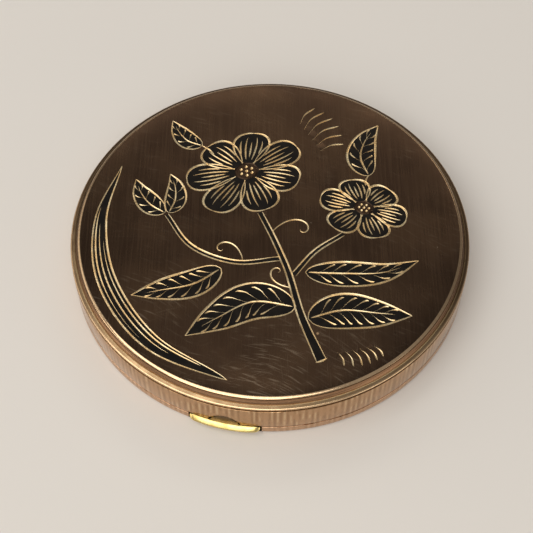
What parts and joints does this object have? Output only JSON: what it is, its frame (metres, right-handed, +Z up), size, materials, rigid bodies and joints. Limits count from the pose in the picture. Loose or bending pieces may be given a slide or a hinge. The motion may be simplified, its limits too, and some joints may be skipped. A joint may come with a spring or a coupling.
{
  "type": "compact mirror",
  "caption": "Round gold-tone powder compact with a mirror in its hinged lid, a thumb bar catch, a sprung inner lid, a sifter and a puff.",
  "frame": {"origin": "centre of the flat bottom of the case, which it rests on", "axes": "+Z up through the lid, the thumb bar faces -Y and the main hinge is on the +Y side"},
  "size_m": [0.08, 0.0835, 0.0109],
  "materials": {
    "lid_bronze": "satin, dark bronze",
    "side_gold": "polished",
    "thumb_brass": "bright polished",
    "inner_gold": "satin gilt",
    "pin_steel": "drawn wire",
    "mirror_silver": "silvered glass",
    "backing_card": "matt",
    "sifter_frame": "matt",
    "sifter_gauze": "fine net",
    "puff_velour": "velour",
    "ribbon_satin": "satin"
  },
  "bodies": {
    "case": {"base_shell": "side_gold", "inner_collar": "inner_gold", "powder_well": "inner_gold", "sifter_ring": "sifter_frame", "sifter_gauze": "sifter_gauze", "powder_puff": "puff_velour", "puff_ribbon": "ribbon_satin", "inner_hinge_bracket": "inner_gold", "inner_hinge_pin": "pin_steel", "inner_lid_spring": "pin_steel", "base_hinge_leaf": "side_gold", "hinge_pin": "thumb_brass", "latch_guide": "inner_gold", "latch_guide_rivet_left": "thumb_brass", "latch_guide_rivet_right": "thumb_brass", "latch_spring": "pin_steel"},
    "lid": {"lid_shell": "lid_bronze", "mirror_backing_card": "backing_card", "mirror_glass": "mirror_silver", "mirror_bezel": "side_gold", "lid_hinge_leaf": "side_gold", "lid_keeper": "inner_gold"},
    "latch": {"latch_thumb_bar": "thumb_brass", "latch_slide": "pin_steel"},
    "inner_lid": {"inner_lid_plate": "inner_gold", "inner_lid_tab": "thumb_brass"}
  },
  "joints": [
    {"name": "lid_hinge", "type": "hinge", "parent": "case", "child": "lid", "pos_m": [0, 0.0414, 0.00225], "axis": [-1, 0, 0], "range_deg": [0, 105]},
    {"name": "latch_push", "type": "slide", "parent": "case", "child": "latch", "axis": [0, 1, 0], "range_m": [0, 0.0008], "stiffness_N_per_m": 300, "springref_m": -0.001, "deforming": ["latch_spring"]},
    {"name": "inner_lid_hinge", "type": "hinge", "parent": "case", "child": "inner_lid", "pos_m": [0, 0.0332, 0.0076], "axis": [-1, 0, 0], "range_deg": [0, 73.5]}
  ],
  "couplings": [
    {"joint": "inner_lid_hinge", "follows": "lid_hinge", "ratio": 0.7}
  ]
}
